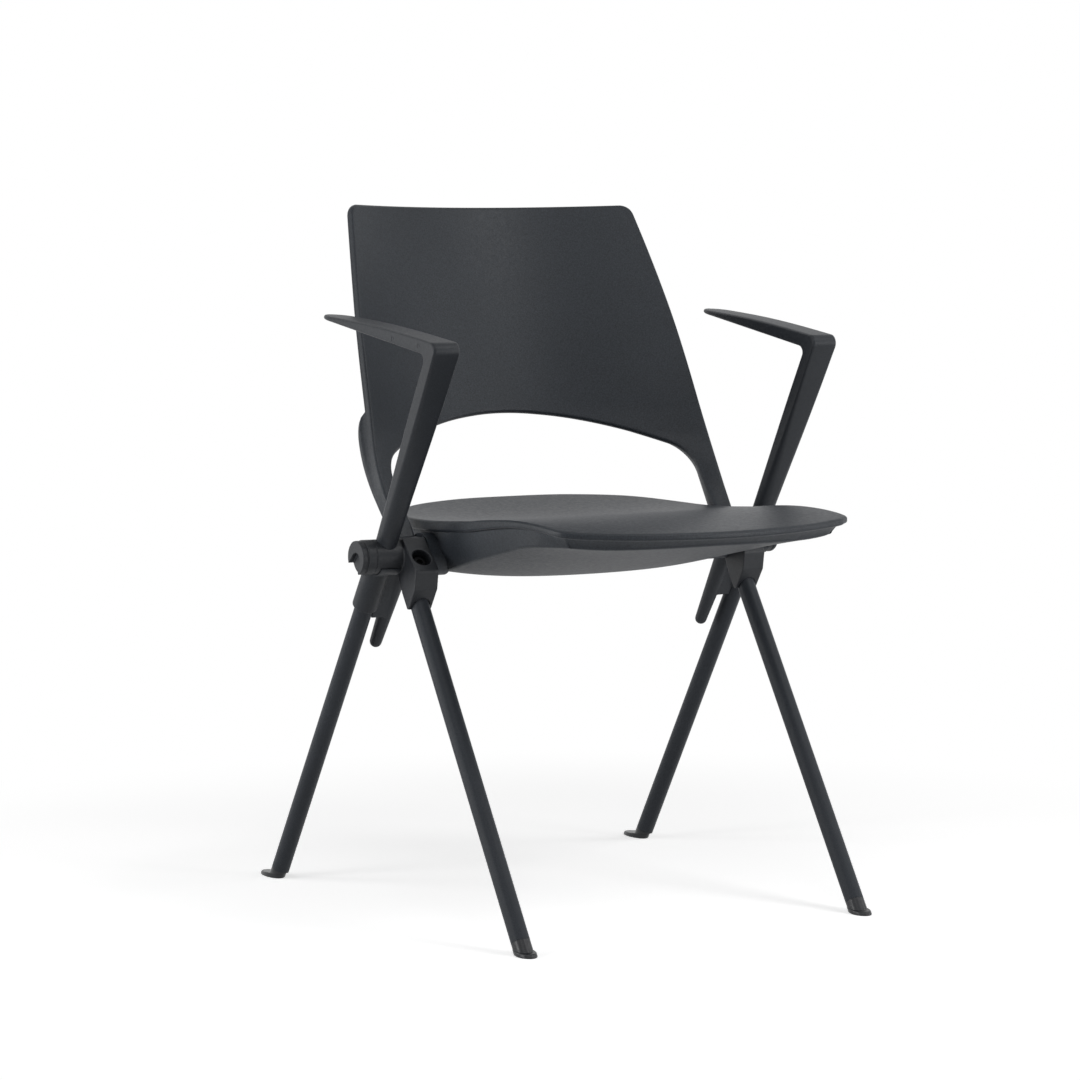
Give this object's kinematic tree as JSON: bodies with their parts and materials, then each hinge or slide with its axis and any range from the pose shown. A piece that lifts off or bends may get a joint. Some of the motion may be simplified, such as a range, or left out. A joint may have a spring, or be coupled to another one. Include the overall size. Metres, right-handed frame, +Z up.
{
  "type": "linking armchair",
  "caption": "Armchair on crossed tube legs with a moulded bowed back, cantilever arms, a hook for joining rows and a seat that tips up about its hub castings.",
  "frame": {"origin": "on the floor, under the middle of the chair's bounding box", "axes": "+Z up, -Y the way the sitter faces, +X to the sitter's left; the linking hook is at -X"},
  "size_m": [0.58, 0.6447, 0.8291],
  "materials": {
    "shell": "fine-grained anthracite polypropylene",
    "paint": "satin black powder coat on steel tube",
    "casting": "satin black powder coat on a casting",
    "nylon": "fine-grained black nylon",
    "glide": "glossy black glide plastic",
    "steel": "zinc-plated"
  },
  "bodies": {
    "frame": {"armrest_left": "nylon", "armrest_right": "nylon", "backrest": "shell", "cross_tube": "paint", "front_foot_left": "glide", "front_foot_right": "glide", "front_leg_bolt_left": "steel", "front_leg_bolt_right": "steel", "front_leg_left": "paint", "front_leg_right": "paint", "hub_casting_left": "casting", "hub_casting_right": "casting", "linking_cap": "nylon", "linking_hook": "nylon", "rear_foot_left": "glide", "rear_foot_right": "glide", "rear_leg_left": "paint", "rear_leg_right": "paint", "rear_leg_sleeve_left": "nylon", "rear_leg_sleeve_right": "nylon"},
    "seat": {"pivot_bush_left": "nylon", "pivot_bush_right": "nylon", "seat_pan": "shell", "seat_shell": "shell"}
  },
  "joints": [
    {"name": "seat_tip", "type": "hinge", "parent": "frame", "child": "seat", "pos_m": [0, 0.0105, 0.4222], "axis": [-1, 0, 0], "range_deg": [0, 85]}
  ]
}
